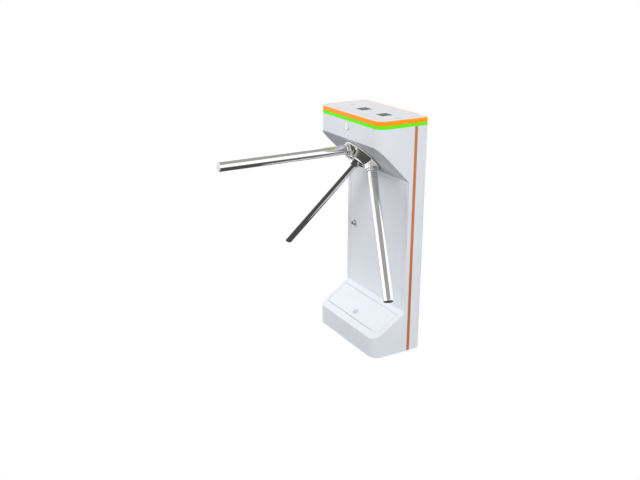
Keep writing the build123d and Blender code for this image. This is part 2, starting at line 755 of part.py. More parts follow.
# a seat for the roller and a notch for the pawls at every sixth of a turn
seat_turns = range(30, 360, 60)
notch_turns = range(0, 360, 60)
with BuildPart() as index_disc:
    disc(hub_plane, index_r, index_back, -index_from)
    for turn in seat_turns:
        seat_out = index_r + roller_seat_out
        place = (seat_out * cos(radians(turn)), seat_out * sin(radians(turn)))
        disc(hub_plane, roller_seat_r, index_back, -index_from, place, Mode.SUBTRACT)
    for turn in notch_turns:
        notch = turned(hub_plane, turn)
        half = pawl_nose_width / 2 + notch_play
        block(
            notch,
            (index_r - notch_depth, -half, index_back - 1),
            (index_r + 4, half, -index_from + 1),
            Mode.SUBTRACT,
        )
    spacer_end = housing_back - clearance
    disc(hub_plane, shaft_r + 6.0, -index_from, spacer_end)
    disc(hub_plane, shaft_r, index_back, spacer_end, mode=Mode.SUBTRACT)
keep("index_disc", index_disc)


def gear_outline(teeth, turn):
    # a spur gear's outline with involute flanks, its first tooth at the angle turn
    pitch_r = gear_module * teeth / 2
    base_r = pitch_r * cos(radians(pressure_angle))
    tip_r = pitch_r + gear_module * 0.95
    root_r = pitch_r - gear_module * 1.25
    half_tooth = (pi / (2 * teeth)) - gear_backlash / (2 * pitch_r)
    at_pitch = tan(radians(pressure_angle)) - radians(pressure_angle)
    start_r = max(base_r, root_r)
    flank = []
    for step in range(5):
        r = start_r + (tip_r - start_r) * step / 4
        roll = acos(min(base_r / r, 1.0))
        flank.append((r, half_tooth + at_pitch - (tan(roll) - roll)))
    if start_r > root_r:
        flank.insert(0, (root_r, flank[0][1]))
    points = []
    for tooth in range(teeth):
        middle = radians(turn) + 2 * pi * tooth / teeth
        side = [(r, middle - a) for r, a in flank] + [(r, middle + a) for r, a in reversed(flank)]
        points += [(r * cos(a), r * sin(a)) for r, a in side]
    return points


with BuildPart() as drive_gear:
    with BuildSketch(hub_plane.offset(gear_back)):
        with BuildLine():
            Polyline(*gear_outline(gear_teeth, 270.0), close=True)
        make_face()
        Circle(shaft_r, mode=Mode.SUBTRACT)
        with PolarLocations(32.0, 6):
            Circle(8.0, mode=Mode.SUBTRACT)
    extrude(amount=gear_thickness)
keep("drive_gear", drive_gear)

pinion_plane = Plane(
    origin=hub_plane.from_local_coords((*pinion_centre, 0)), x_dir=hub_plane.x_dir, z_dir=hub_plane.z_dir
)
with BuildPart() as damper_pinion:
    with BuildSketch(pinion_plane.offset(gear_back)):
        with BuildLine():
            Polyline(*gear_outline(pinion_teeth, 90.0 + 180.0 / pinion_teeth), close=True)
        make_face()
    extrude(amount=gear_thickness)
    disc(pinion_plane, pinion_shaft_r, gear_back - 2, pinion_end)
keep("damper_pinion", damper_pinion)

with BuildPart() as damper_body:
    disc(pinion_plane, damper_r, damper_back, damper_front)
    chamfer(damper_body.edges().group_by(Axis(hub_plane.origin, hub_plane.z_dir))[0], 2)
    bore_end = pinion_end + clearance
    disc(pinion_plane, pinion_shaft_r + running_gap, damper_back, bore_end, mode=Mode.SUBTRACT)
keep("damper_body", damper_body)


# pawls, their plungers and solenoids: the right-hand side is +1
for side, word in ((1, "right"), (-1, "left")):
    with BuildPart() as pawl:
        with BuildSketch(hub_plane.offset(pawl_back)):
            with BuildLine():
                Polyline(
                    (side * (nose_tip + pawl_nose_back), pawl_nose_width / 2),
                    (side * nose_tip, pawl_nose_width / 2),
                    (side * nose_tip, -pawl_nose_width / 2),
                    (side * (nose_tip + pawl_throat), -pawl_nose_width / 2),
                    (side * (pawl_pivot[0] - pawl_half), pawl_pivot[1]),
                    (side * (pawl_tail[0] - pawl_tail_half), pawl_tail[1]),
                    (side * (pawl_tail[0] + pawl_tail_half), pawl_tail[1]),
                    (side * (pawl_pivot[0] + pawl_half), pawl_pivot[1]),
                    close=True,
                )
            make_face()
            with Locations((side * pawl_pivot[0], pawl_pivot[1])):
                Circle(pawl_boss_r)
                Circle(pawl_pin_r + running_gap, mode=Mode.SUBTRACT)
        extrude(amount=pawl_thickness)
    keep(f"pawl_{word}", pawl)

plunger_from = 6.0            # from the solenoid's inner end
bore_from = 4.0
# the tail leans, so the plunger stops short of the tail's face at the plunger's own edge
tail_slope = (pawl_tail[0] - pawl_pivot[0] + pawl_half - pawl_tail_half) / (pawl_pivot[1] - pawl_tail[1])
tail_lean = tail_slope * (plunger_r + plunger_offset)
plunger_to = pawl_tail[0] - pawl_tail_half - tail_lean - solenoid_inner_x - clearance


def plunger_plane(side):
    # local +Z runs outwards along a plunger from its solenoid's inner end
    return Plane(
        hub_plane.from_local_coords((side * solenoid_inner_x, solenoid_y, solenoid_z)),
        x_dir=hub_plane.z_dir,
        z_dir=hub_plane.x_dir * side,
    )


for side, word in ((1, "right"), (-1, "left")):
    with BuildPart() as plunger:
        disc(plunger_plane(side), plunger_r, plunger_from, plunger_to)
    keep(f"plunger_{word}", plunger)

with BuildPart() as solenoids:
    length, width, height = solenoid_size
    for side in (-1, 1):
        low_x, high_x = sorted((side * solenoid_inner_x, side * (solenoid_inner_x + length)))
        block(
            hub_plane,
            (low_x, solenoid_y - width / 2, solenoid_z - height / 2),
            (high_x, solenoid_y + width / 2, solenoid_z + height / 2),
        )
        disc(plunger_plane(side), plunger_r + running_gap, bore_from, length + 1, mode=Mode.SUBTRACT)
keep("solenoids", solenoids)

# centring lever with its roller, resting just clear of the index disc's rim
with BuildPart() as centring_lever:
    with BuildSketch(hub_plane.offset(lever_low)):
        with BuildLine():
            Line((0, roller_y), lever_pivot)
        with Locations((0, roller_y), lever_pivot):
            Circle(lever_width / 2)
        make_hull()
        with Locations(lever_pivot):
            Circle(lever_pin_r + running_gap, mode=Mode.SUBTRACT)
    extrude(amount=lever_thickness)
    disc(hub_plane, roller_pin_r, lever_low + lever_thickness, -index_from, (0, roller_y))
keep("centring_lever", centring_lever)

with BuildPart() as centring_roller:
    disc(hub_plane, roller_r, pawl_back, pawl_front, (0, roller_y))
    disc(hub_plane, roller_pin_r + running_gap, pawl_back, pawl_front, (0, roller_y), Mode.SUBTRACT)
keep("centring_roller", centring_roller)

spring_place = Plane(
    origin=hub_plane.from_local_coords((*lever_pivot, lever_low - clearance)),
    x_dir=hub_plane.x_dir,
    z_dir=hub_plane.z_dir,
)
with BuildPart() as lever_spring:
    coil_r = lever_pin_r + 0.6 + spring_wire_r
    for turn in range(spring_turns):
        level = spring_wire_r + turn * 2 * spring_wire_r * 0.98
        with BuildSketch(Plane(spring_place.origin, x_dir=spring_place.x_dir, z_dir=spring_place.y_dir)):
            with Locations((coil_r, level)):
                Circle(spring_wire_r)
        revolve(axis=Axis(spring_place.origin, spring_place.z_dir))
keep("lever_spring", lever_spring)

# ==== electronics behind the door ====
with BuildPart() as electronics_tray:
    half = post_x + post_width / 2 - 2.0
    block(Plane.XY, (-half, tray_y, tray_low), (half, tray_y + tray_thickness, tray_high))
keep("electronics_tray", electronics_tray)

tray_face = Plane(origin=(0, tray_y, 0), x_dir=(1, 0, 0), z_dir=(0, -1, 0))
board_centre = (-70.0, tray_high - 100.0)
board_size = (180.0, 150.0, 1.6)
board_standoff = 6.0
board_face = tray_face.offset(board_standoff + board_size[2])
# from the board's centre: relay, capacitor, choke, two terminal rows, processor (x, y, width, height, depth)
board_parts = (
    (-40, 30, 34, 34, 6), (10, 30, 16, 30, 12), (45, 15, 24, 12, 14),
    (-40, -40, 60, 10, 13), (30, -40, 50, 10, 13), (0, -10, 20, 20, 4),
)
with BuildPart() as control_board:
    left = board_centre[0] - board_size[0] / 2
    bottom = board_centre[1] - board_size[1] / 2
    right = left + board_size[0]
    top = bottom + board_size[1]
    block(tray_face, (left, bottom, board_standoff), (right, top, board_standoff + board_size[2]))
    for x, y, width, height, depth in board_parts:
        low = (board_centre[0] + x - width / 2, board_centre[1] + y - height / 2, 0)
        block(board_face, low, (low[0] + width, low[1] + height, depth))
    with BuildSketch(tray_face):
        with Locations(board_centre):
            with GridLocations(board_size[0] - 14, board_size[1] - 14, 2, 2):
                Circle(3.5)
    extrude(amount=board_standoff)
keep("control_board", control_board)

supply_size = (110.0, 170.0, 36.0)
supply_centre = (105.0, tray_high - 135.0)
with BuildPart() as power_supply:
    left = supply_centre[0] - supply_size[0] / 2
    bottom = supply_centre[1] - supply_size[1] / 2
    block(tray_face, (left, bottom, 0), (left + supply_size[0], bottom + supply_size[1], supply_size[2]))
    fillet(power_supply.edges().filter_by(Axis.Y), 3)
    with BuildSketch(tray_face.offset(supply_size[2])):
        # ventilation holes
        with Locations((supply_centre[0], supply_centre[1] + 15.0)):
            with GridLocations(16, 12, 5, 6):
                Circle(3.0)
    extrude(amount=-1.5, mode=Mode.SUBTRACT)
keep("power_supply", power_supply)

counter_size = (96.0, 70.0, 34.0)
counter_corner = (-150.0, board_centre[1] - board_size[1] / 2 - counter_size[1] - 12.0)
with BuildPart() as counter_module:
    left, bottom = counter_corner
    block(tray_face, (left, bottom, 0), (left + counter_size[0], bottom + counter_size[1], counter_size[2]))
    fillet(counter_module.edges().filter_by(Axis.Y), 4)
    # display recess above three keys
    block(
        tray_face,
        (left + 10, bottom + 32, counter_size[2] - 1.5),
        (left + counter_size[0] - 10, bottom + 60, counter_size[2] + 1),
        Mode.SUBTRACT,
    )
    for step in range(3):
        disc(tray_face, 4.0, counter_size[2] - 2, counter_size[2] + 2, (left + 24 + step * 24, bottom + 16))
keep("counter_module", counter_module)

os.makedirs("parts", exist_ok=True)
for name, builder in pieces.items():
    builder.part.label = name
    export_step(builder.part, f"parts/{name}.step")
print(len(pieces), "pieces written")
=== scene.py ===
import json
from math import atan2, cos, pi, radians, sin

import bmesh
import bpy
from mathutils import Matrix, Vector


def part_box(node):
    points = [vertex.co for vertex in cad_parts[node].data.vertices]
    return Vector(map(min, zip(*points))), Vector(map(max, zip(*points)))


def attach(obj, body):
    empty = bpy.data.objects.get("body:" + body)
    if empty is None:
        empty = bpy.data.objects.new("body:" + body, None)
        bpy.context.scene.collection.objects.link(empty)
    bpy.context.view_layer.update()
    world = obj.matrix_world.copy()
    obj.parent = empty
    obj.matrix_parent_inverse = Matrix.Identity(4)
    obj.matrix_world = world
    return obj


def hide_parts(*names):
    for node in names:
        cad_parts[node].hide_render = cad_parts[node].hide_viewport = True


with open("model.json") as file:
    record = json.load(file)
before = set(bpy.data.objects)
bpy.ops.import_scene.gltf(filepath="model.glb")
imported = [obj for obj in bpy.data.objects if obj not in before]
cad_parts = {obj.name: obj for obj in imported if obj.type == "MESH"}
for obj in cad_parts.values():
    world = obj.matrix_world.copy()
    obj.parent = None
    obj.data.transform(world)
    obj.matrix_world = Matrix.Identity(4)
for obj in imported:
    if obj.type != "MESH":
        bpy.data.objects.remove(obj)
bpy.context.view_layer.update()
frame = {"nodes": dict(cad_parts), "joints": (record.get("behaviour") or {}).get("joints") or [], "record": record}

record = frame["record"]
nodes = frame["nodes"]
slotOf = {part["node"]: part["material_slot"] for part in record["subparts"]}
bodyOf = {node: body for body, members in record["behaviour"]["bodies"].items() for node in members}
jointOf = {joint["name"]: joint for joint in frame["joints"]}
sharpAngle = 32.0        # degrees, above which an edge stays sharp in shading
mergeDistance = 0.000002


# Materials. A Socket is one output of a node tree, so that shader maths reads as plain sums.
class Socket:
    def __init__(self, tree, link):
        self.tree = tree
        self.link = link

    def maths(self, operation, first, second):
        return self.tree.node("Math", {"operation": operation}, {0: first, 1: second})

    def __add__(self, other):
        return self.maths("ADD", self, other)

    def __radd__(self, other):
        return self.maths("ADD", other, self)

    def __sub__(self, other):
        return self.maths("SUBTRACT", self, other)

    def __rsub__(self, other):
        return self.maths("SUBTRACT", other, self)

    def __mul__(self, other):
        return self.maths("MULTIPLY", self, other)

    def __rmul__(self, other):
        return self.maths("MULTIPLY", other, self)


class Tree:
    def __init__(self, owner):
        owner.use_nodes = True
        self.nodes = owner.node_tree.nodes
        self.links = owner.node_tree.links

    def feed(self, target, value):
        if isinstance(value, Socket):
            self.links.new(value.link, target)
        else:
            target.default_value = value

    def node(self, kind, settings=None, values=None, output=0):
        # any node: its settings first, then the values or links of its sockets
        made = self.nodes.new("ShaderNode" + kind)
        for name, setting in (settings or {}).items():
            if name == "stops":
                ramp = made.color_ramp
                ramp.elements[0].position, ramp.elements[0].color = setting[0]
                ramp.elements[1].position, ramp.elements[1].color = setting[-1]
                for place, colour in setting[1:-1]:
                    ramp.elements.new(place).color = colour
            else:
                setattr(made, name, setting)
        for name, value in (values or {}).items():
            self.feed(made.inputs[name], value)
        return Socket(self, made.outputs[output])

    def step(self, value, low, high):
        # 0 below low, 1 above high, smooth between
        settings = {"interpolation_type": "SMOOTHSTEP", "clamp": True}
        return self.node("MapRange", settings, {0: value, 1: low, 2: high, 3: 0.0, 4: 1.0})

    def mix(self, share, first, second):
        colours = {0: share, 6: first, 7: second}
        return self.node("Mix", {"data_type": "RGBA"}, colours, output=2)


class Finish(Tree):
    # a Principled material whose fixed values are set on its own sockets
    def __init__(self, name, fixed):
        self.material = bpy.data.materials.new(name)
        super().__init__(self.material)
        self.shader = self.nodes["Principled BSDF"]
        for socket, value in fixed.items():
            self.shader.inputs[socket].default_value = value

    def grain(self, size, stretch=(1, 1, 1), detail=3.0, uneven=0.55, place="Object"):
        # noise whose features are about size metres wide, longer where stretch is under 1
        source = self.node("TexCoord", output={"Object": 3, "UV": 2}[place])
        scale = tuple(part / size for part in stretch)
        spot = self.node("Mapping", {}, {"Vector": source, "Scale": scale})
        values = {"Vector": spot, "Scale": 1.0, "Detail": detail, "Roughness": uneven}
        return self.node("TexNoise", {}, values)

    def worn(self):
        # 1 on the faces that rounding an edge has made, 0 elsewhere
        return self.node("Attribute", {"attribute_name": "edgeWear"}, {}, output=2)

    def paint(self, colour=None, roughness=None, height=None, depth=0.0):
        if colour is not None:
            self.feed(self.shader.inputs["Base Color"], colour)
        if roughness is not None:
            self.feed(self.shader.inputs["Roughness"], roughness)
        if height is not None:
            bumped = self.node("Bump", {}, {"Height": height, "Distance": depth, "Strength": 1.0})
            self.feed(self.shader.inputs["Normal"], bumped)
        return self.material


def rgb(red, green, blue):
    # a colour from a paint chart's 0 to 255 values
    linear = []
    for part in (red / 255, green / 255, blue / 255):
        linear.append(part / 12.92 if part < 0.0405 else ((part + 0.055) / 1.055) ** 2.4)
    return (*linear, 1.0)


powderCoat = {
    "colour": rgb(226, 229, 236),
    "shade": rgb(222, 226, 233),
    "rubbed": rgb(208, 212, 219),
    "cloudSize": 0.22,
    "peelSize": 0.0016,
    "peelDepth": 0.00002,
    "speckSize": 0.0007,
    "roughness": 0.36,
    "shine": 0.22,
}


def makePowderCoat():
    finish = Finish("cabinetPowderCoat", {"Specular IOR Level": powderCoat["shine"]})
    cloud = finish.grain(powderCoat["cloudSize"], detail=2.0)
    peel = finish.grain(powderCoat["peelSize"], detail=2.0)
    specks = finish.step(finish.grain(powderCoat["speckSize"], detail=1.0), 0.66, 0.74)
    rubbed = finish.worn() * finish.step(finish.grain(0.012, detail=5.0), 0.42, 0.62)
    colour = finish.mix(finish.step(cloud, 0.35, 0.7), powderCoat["colour"], powderCoat["shade"])
    colour = finish.mix(rubbed * 0.7, colour, powderCoat["rubbed"])
    rough = powderCoat["roughness"] + 0.10 * cloud - 0.10 * rubbed + 0.03 * specks
    return finish.paint(colour, rough, peel + 0.3 * specks, powderCoat["peelDepth"])


rimPlastic = {
    "colour": rgb(255, 150, 20),
    "pale": rgb(252, 160, 40),
    "sheen": rgb(255, 240, 175),
    # painted glow: the orange plastic rim shines faintly by itself, though it holds no lamp
    "glow": 0.08,
    "shine": 0.2,
    "roughness": 0.12,
    "skinSize": 0.0011,
    "skinDepth": 0.000012,
}


def makeRimPlastic():
    finish = Finish("rimPlastic", {
        "Specular IOR Level": rimPlastic["shine"],
        "Specular Tint": rimPlastic["sheen"],
        "Emission Strength": rimPlastic["glow"],
    })
    cloud = finish.grain(0.06, detail=3.0)
    skin = finish.grain(rimPlastic["skinSize"], detail=2.0)
    rubbed = finish.worn() * finish.step(finish.grain(0.009, detail=5.0), 0.45, 0.65)
    colour = finish.mix(0.35 * cloud + 0.35 * rubbed, rimPlastic["colour"], rimPlastic["pale"])
    rough = rimPlastic["roughness"] + 0.10 * finish.grain(0.02, detail=5.0) + 0.08 * rubbed
    # the painted glow takes the rim's own colour
    finish.feed(finish.shader.inputs["Emission Color"], colour)
    return finish.paint(colour, rough, skin, rimPlastic["skinDepth"])


stripPaint = {
    "colour": rgb(201, 123, 66),
    "shade": rgb(188, 110, 58),
    "roughness": 0.38,
    "shine": 0.4,
    "peelSize": 0.0013,
    "peelDepth": 0.00002,
}


def makeStripPaint():
    finish = Finish("stripPaint", {"Specular IOR Level": stripPaint["shine"]})
    cloud = finish.grain(0.15, stretch=(1, 1, 0.25), detail=3.0)
    peel = finish.grain(stripPaint["peelSize"], detail=2.0)
    rubbed = finish.worn() * finish.step(finish.grain(0.01, detail=5.0), 0.45, 0.6)
    colour = finish.mix(finish.step(cloud, 0.3, 0.7), stripPaint["colour"], stripPaint["shade"])
    rough = stripPaint["roughness"] + 0.1 * cloud - 0.08 * rubbed
    return finish.paint(colour, rough, peel, stripPaint["peelDepth"])


lightDiffuser = {
    "bright": rgb(94, 204, 28),
    "deep": rgb(72, 196, 16),
    "strength": 0.58,
    "shine": 0.1,
    "lampSpacing": 0.0125,
    "frostSize": 0.0009,
    "frostDepth": 0.00001,
}


def makeLightDiffuser():
    # the lamps behind the frosted ring leave a faint regular brightness along it
    finish = Finish("lightDiffuser", {
        "Specular IOR Level": lightDiffuser["shine"],
        "Emission Strength": lightDiffuser["strength"],
    })
    place = finish.node("TexCoord", output=3)
    part = [finish.node("SeparateXYZ", {}, {"Vector": place}, output=axis) for axis in range(2)]
    turn = 2 * pi / lightDiffuser["lampSpacing"]
    wave = finish.node("Math", {"operation": "SINE"}, {0: (part[0] + part[1]) * turn})
    frost = finish.grain(lightDiffuser["frostSize"], detail=3.0)
    glow = 0.35 + 0.12 * wave + 0.5 * finish.grain(0.03, detail=2.0)
    colour = finish.mix(glow, lightDiffuser["deep"], lightDiffuser["bright"])
    finish.feed(finish.shader.inputs["Emission Color"], colour)
    return finish.paint(colour, 0.35 + 0.15 * frost, frost, lightDiffuser["frostDepth"])


topPlastic = {
    "colour": rgb(222, 223, 228),
    "shade": rgb(214, 216, 221),
    "scuff": rgb(204, 206, 211),
    "roughness": 0.34,
    "leatherSize": 0.0009,
    "leatherDepth": 0.000018,
}


def makeTopPlastic():
    # faint scuffs lie along the passage, where cards and hands slide over the plate
    finish = Finish("topPlastic", {"Specular IOR Level": 0.5})
    cloud = finish.grain(0.12, detail=3.0)
    leather = finish.grain(topPlastic["leatherSize"], detail=3.0)
    scuffs = finish.step(finish.grain(0.004, stretch=(0.12, 1, 1), detail=4.0), 0.62, 0.72)
    colour = finish.mix(cloud, topPlastic["colour"], topPlastic["shade"])
    colour = finish.mix(0.35 * scuffs + 0.3 * finish.worn(), colour, topPlastic["scuff"])
    rough = topPlastic["roughness"] + 0.12 * cloud - 0.1 * scuffs
    return finish.paint(colour, rough, leather, topPlastic["leatherDepth"])


readerGlass = {
    "colour": (0.020, 0.025, 0.036, 1),
    "dust": (0.060, 0.066, 0.080, 1),
    "roughness": 0.24,
    "shine": 0.025,
    "waveSize": 0.02,
    "waveDepth": 0.00001,
}


def makeReaderGlass():
    finish = Finish("readerGlass", {"Specular IOR Level": readerGlass["shine"]})
    prints = finish.step(finish.grain(0.014, detail=6.0, uneven=0.7), 0.48, 0.7)
    colour = finish.mix(0.5 * prints, readerGlass["colour"], readerGlass["dust"])
    waves = finish.grain(readerGlass["waveSize"])
    return finish.paint(colour, readerGlass["roughness"] + 0.22 * prints, waves, readerGlass["waveDepth"])


def makeMouldedPlastic(name, colour, pale, roughness, texture, depth):
    # moulded plastic with a fine spark-eroded texture
    finish = Finish(name, {"Specular IOR Level": 0.45})
    cloud = finish.grain(0.03, detail=4.0)
    leather = finish.grain(texture, detail=4.0, uneven=0.65)
    rubbed = finish.worn() * finish.step(finish.grain(0.006, detail=5.0), 0.4, 0.65)
    shade = finish.mix(0.35 * cloud + 0.5 * rubbed, colour, pale)
    return finish.paint(shade, roughness + 0.14 * leather - 0.15 * rubbed, leather, depth)


polishedSteel = {
    "colour": rgb(226, 225, 223),
    "dim": rgb(205, 204, 202),
    "armRoughness": 0.045,
    "hubRoughness": 0.16,
    "lineDepth": 0.0000002,
}


def makePolishedSteel(name, roughness):
    # polishing leaves hair lines round each tube, and hands leave faint smears
    finish = Finish(name, {"Metallic": 1.0})
    lines = finish.grain(0.0006, stretch=(0.03, 1, 1), detail=3.0, place="UV")
    smears = finish.step(finish.grain(0.045, detail=5.0, uneven=0.6), 0.5, 0.75)
    rubbed = finish.worn() * finish.step(finish.grain(0.005, detail=4.0), 0.4, 0.6)
    colour = finish.mix(0.35 * smears + 0.3 * rubbed, polishedSteel["colour"], polishedSteel["dim"])
    rough = roughness + 0.03 * lines + 0.05 * smears + 0.05 * rubbed
    return finish.paint(colour, rough, lines, polishedSteel["lineDepth"])


def makeMetal(name, colour, dim, roughness, lineSize, stretch, depth):
    # plated or machined metal: fine tool lines, cloudy dulling, brighter edges
    finish = Finish(name, {"Metallic": 1.0})
    lines = finish.grain(lineSize, stretch=stretch, detail=4.0)
    cloud = finish.grain(0.018, detail=5.0, uneven=0.62)
    rubbed = finish.worn() * finish.step(finish.grain(0.004, detail=4.0), 0.35, 0.6)
    shade = finish.mix(finish.step(cloud, 0.3, 0.72) - 0.6 * rubbed, colour, dim)
    rough = roughness + 0.12 * cloud + 0.08 * lines - 0.12 * rubbed
    return finish.paint(shade, rough, lines, depth)


coilTape = {
    "colour": (0.018, 0.017, 0.02, 1),
    "pale": (0.05, 0.046, 0.05, 1),
    "wirePitch": 0.0011,
    "ridgeDepth": 0.00006,
}


def makeCoilTape():
    # windings under tape: ridges of wire show faintly through it
    finish = Finish("coilTape", {"Specular IOR Level": 0.4})
    place = finish.node("TexCoord", output=3)
    across = finish.node("SeparateXYZ", {}, {"Vector": place}, output=0)
    ridges = finish.node("Math", {"operation": "SINE"}, {0: across * (2 * pi / coilTape["wirePitch"])})
    cloud = finish.grain(0.01, detail=4.0)
    colour = finish.mix(cloud, coilTape["colour"], coilTape["pale"])
    return finish.paint(colour, 0.35 + 0.25 * cloud, ridges + cloud, coilTape["ridgeDepth"])


circuitBoard = {
    "mask": (0.008, 0.075, 0.035, 1),
    "paleMask": (0.012, 0.105, 0.05, 1),
    "tracks": (0.05, 0.24, 0.11, 1),
    "trackScale": 90.0,
    "trackWidth": 0.06,
    "trackDepth": 0.00003,
}


def makeCircuitBoard():
    # solder mask over copper tracks, which stand up a little and shine through
    finish = Finish("circuitBoard", {"Specular IOR Level": 0.5})
    place = finish.node("TexCoord", output=3)
    values = {"Vector": place, "Scale": circuitBoard["trackScale"], "Mortar Size": circuitBoard["trackWidth"]}
    brick = finish.node("TexBrick", {"offset": 0.37}, values, output=1)
    cloud = finish.grain(0.02, detail=4.0)
    mask = finish.mix(cloud, circuitBoard["mask"], circuitBoard["paleMask"])
    colour = finish.mix(0.6 * brick, mask, circuitBoard["tracks"])
    return finish.paint(colour, 0.3 + 0.15 * cloud, brick, circuitBoard["trackDepth"])


finishes = {
    "cabinet_paint": makePowderCoat(),
    "orange_rim": makeRimPlastic(),
    "seam_strip": makeStripPaint(),
    "light_green": makeLightDiffuser(),
    "top_panel": makeTopPlastic(),
    "reader_glass": makeReaderGlass(),
    "dark_plastic": makeMouldedPlastic(
        "darkPlastic", (0.030, 0.030, 0.033, 1), (0.085, 0.085, 0.09, 1), 0.42, 0.0008, 0.00003),
    "polished_steel": makePolishedSteel("polishedSteel", polishedSteel["armRoughness"]),
    "lock_chrome": makeMetal(
        "lockChrome", rgb(228, 229, 232), rgb(206, 207, 210), 0.14, 0.0008, (1, 1, 0.1), 0.000002),
    "zinc_steel": makeMetal(
        "zincSteel", rgb(186, 190, 194), rgb(150, 155, 158), 0.34, 0.0012, (0.15, 1, 1), 0.000008),
    "seam_grey": makeMouldedPlastic(
        "seatPlastic", (0.40, 0.41, 0.44, 1), (0.48, 0.49, 0.52, 1), 0.4, 0.0009, 0.00002),
    "cast_housing": makeMetal(
        "castHousing", rgb(176, 178, 180), rgb(142, 145, 148), 0.46, 0.0014, (1, 1, 1), 0.00012),
    "machined_steel": makeMetal(
        "machinedSteel", rgb(196, 197, 199), rgb(160, 162, 166), 0.24, 0.0007, (0.2, 1, 1), 0.000006),
    "roller_nylon": makeMouldedPlastic(
        "rollerNylon", (0.74, 0.72, 0.64, 1), (0.80, 0.78, 0.70, 1), 0.38, 0.0006, 0.00001),
    "coil_black": makeCoilTape(),
    "board_green": makeCircuitBoard(),
}
print("finishes:", len(finishes))


# Mesh helpers
def piece(name, bm, body, slot, replaced=()):
    # closes a bmesh into a piece that rides on a body, smooth except across its sharp edges
    for face in bm.faces:
        face.smooth = True
    for edge in bm.edges:
        edge.smooth = len(edge.link_faces) == 2 and edge.calc_face_angle() < radians(sharpAngle)
    mesh = bpy.data.meshes.new(name)
    bm.to_mesh(mesh)
    bm.free()
    if "custom_normal" in mesh.attributes:
        mesh.attributes.remove(mesh.attributes["custom_normal"])
    made = bpy.data.objects.new(name, mesh)
    bpy.context.scene.collection.objects.link(made)
    made.modifiers.new("flatFacesStayFlat", "WEIGHTED_NORMAL").keep_sharp = True
    mesh.materials.clear()
    mesh.materials.append(finishes[slot])
    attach(made, body)
    if replaced:
        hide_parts(*replaced)
    return made


def sharpEdges(bm, above=28):
    return [
        edge for edge in bm.edges
        if len(edge.link_faces) == 2 and edge.is_convex and edge.calc_face_angle() > radians(above)
    ]


def roundEdges(bm, edges, width, segments=2):
    # rounds edges, and marks the new faces as the ones that wear
    wear = bm.faces.layers.float.get("edgeWear") or bm.faces.layers.float.new("edgeWear")
    made = bmesh.ops.bevel(
        bm, geom=edges, offset=width, segments=segments, affect="EDGES", profile=0.5, material=-1,
        clamp_overlap=True,
    )
    for face in made["faces"]:
        face[wear] = 1.0


def softCopy(node, width, segments=2):
    # a CAD node's own form, merged, with its sharp edges rounded
    bm = bmesh.new()
    bm.from_mesh(nodes[node].data)
    bmesh.ops.remove_doubles(bm, verts=bm.verts, dist=mergeDistance)
    bmesh.ops.dissolve_limit(bm, angle_limit=radians(0.3), verts=bm.verts, edges=bm.edges)
    roundEdges(bm, sharpEdges(bm), width, segments)
    return bm


def softened(node, width, segments=2):
    bm = softCopy(node, width, segments)
    return piece(node + "_finished", bm, bodyOf[node], slotOf[node], [node])


def turned(profile, steps=96, closed=True):
    # spins a profile of (radius, height) points round Z
    bm = bmesh.new()
    points = [bm.verts.new((radius, 0, height)) for radius, height in profile]
    pairs = list(zip(points, points[1:]))
    if closed:
        pairs.append((points[-1], points[0]))
    edges = [bm.edges.new(pair) for pair in pairs]
    bmesh.ops.spin(
        bm, geom=points + edges, cent=(0, 0, 0), axis=(0, 0, 1), dvec=(0, 0, 0), angle=2 * pi,
        steps=steps, use_merge=True,
    )
    bmesh.ops.remove_doubles(bm, verts=bm.verts, dist=0.0000005)
    bmesh.ops.recalc_face_normals(bm, faces=bm.faces)
    return bm


def wrapAround(bm):
    # a UV map in metres, once round Z by height, for finishes whose lines run round a piece
    layer = bm.loops.layers.uv.new("around")
    for face in bm.faces:
        middle = face.calc_center_median()
        facing = atan2(middle.y, middle.x)
        for loop in face.loops:
            spot = loop.vert.co
            turn = atan2(spot.y, spot.x)
            turn += 2 * pi * round((facing - turn) / (2 * pi))
            loop[layer].uv = (turn * spot.xy.length, spot.z + spot.xy.length)


def placed(bm, place):
    bmesh.ops.transform(bm, matrix=place, verts=bm.verts)
    return bm


def joined(parts):
    whole = bmesh.new()
    for part in parts:
        mesh = bpy.data.meshes.new("part")
        part.to_mesh(mesh)
        part.free()
        whole.from_mesh(mesh)
        bpy.data.meshes.remove(mesh)
    return whole


def facing(origin, outwards, across=(1, 0, 0)):
    # a place whose Z runs outwards and whose X runs across
    z = Vector(outwards).normalized()
    x = Vector(across).normalized()
    y = z.cross(x)
    return Matrix.Translation(Vector(origin)) @ Matrix((x, y, z)).transposed().to_4x4()


# Cabinet: folded sheet steel, so every outer edge is a small radius
cabinet = {
    "sheetEdge": 0.0006,
    "panelEdge": 0.0006,
    "stripEdge": 0.0007,
    "segments": 3,
}


def makeCabinet():
    for node in ("front_shell", "rear_shell"):
        softened(node, cabinet["sheetEdge"], cabinet["segments"])
    for node in ("door_panel", "foot_cover"):
        softened(node, cabinet["panelEdge"], cabinet["segments"])
    for node in ("side_strip_left", "side_strip_right"):
        softened(node, cabinet["stripEdge"], cabinet["segments"])
    print("cabinet shells, strips and panels")


# Lid and light ring
lid = {
    "rimEdge": 0.0011,
    "lightEdge": 0.0009,
    "plateEdge": 0.0004,
    "windowEdge": 0.0007,
    "segments": 3,
}
marks = {
    "places": ((-0.136, 0.004), (0.162, -0.004)),   # centres on the top plate
    "chevrons": 3,
    "pitch": 0.012,
    "reach": 0.007,
    "halfHeight": 0.009,
    "stroke": 0.0032,
    "stand": 0.00015,
    "colour": rgb(150, 160, 150),
    "worn": rgb(166, 174, 166),
}


def makeLid():
    softened("top_rim", lid["rimEdge"], lid["segments"])
    softened("light_ring", lid["lightEdge"], lid["segments"])
    softened("top_plate", lid["plateEdge"], lid["segments"])
    softened("reader_windows", lid["windowEdge"], lid["segments"])
    makeMarks()
    print("lid and light ring")


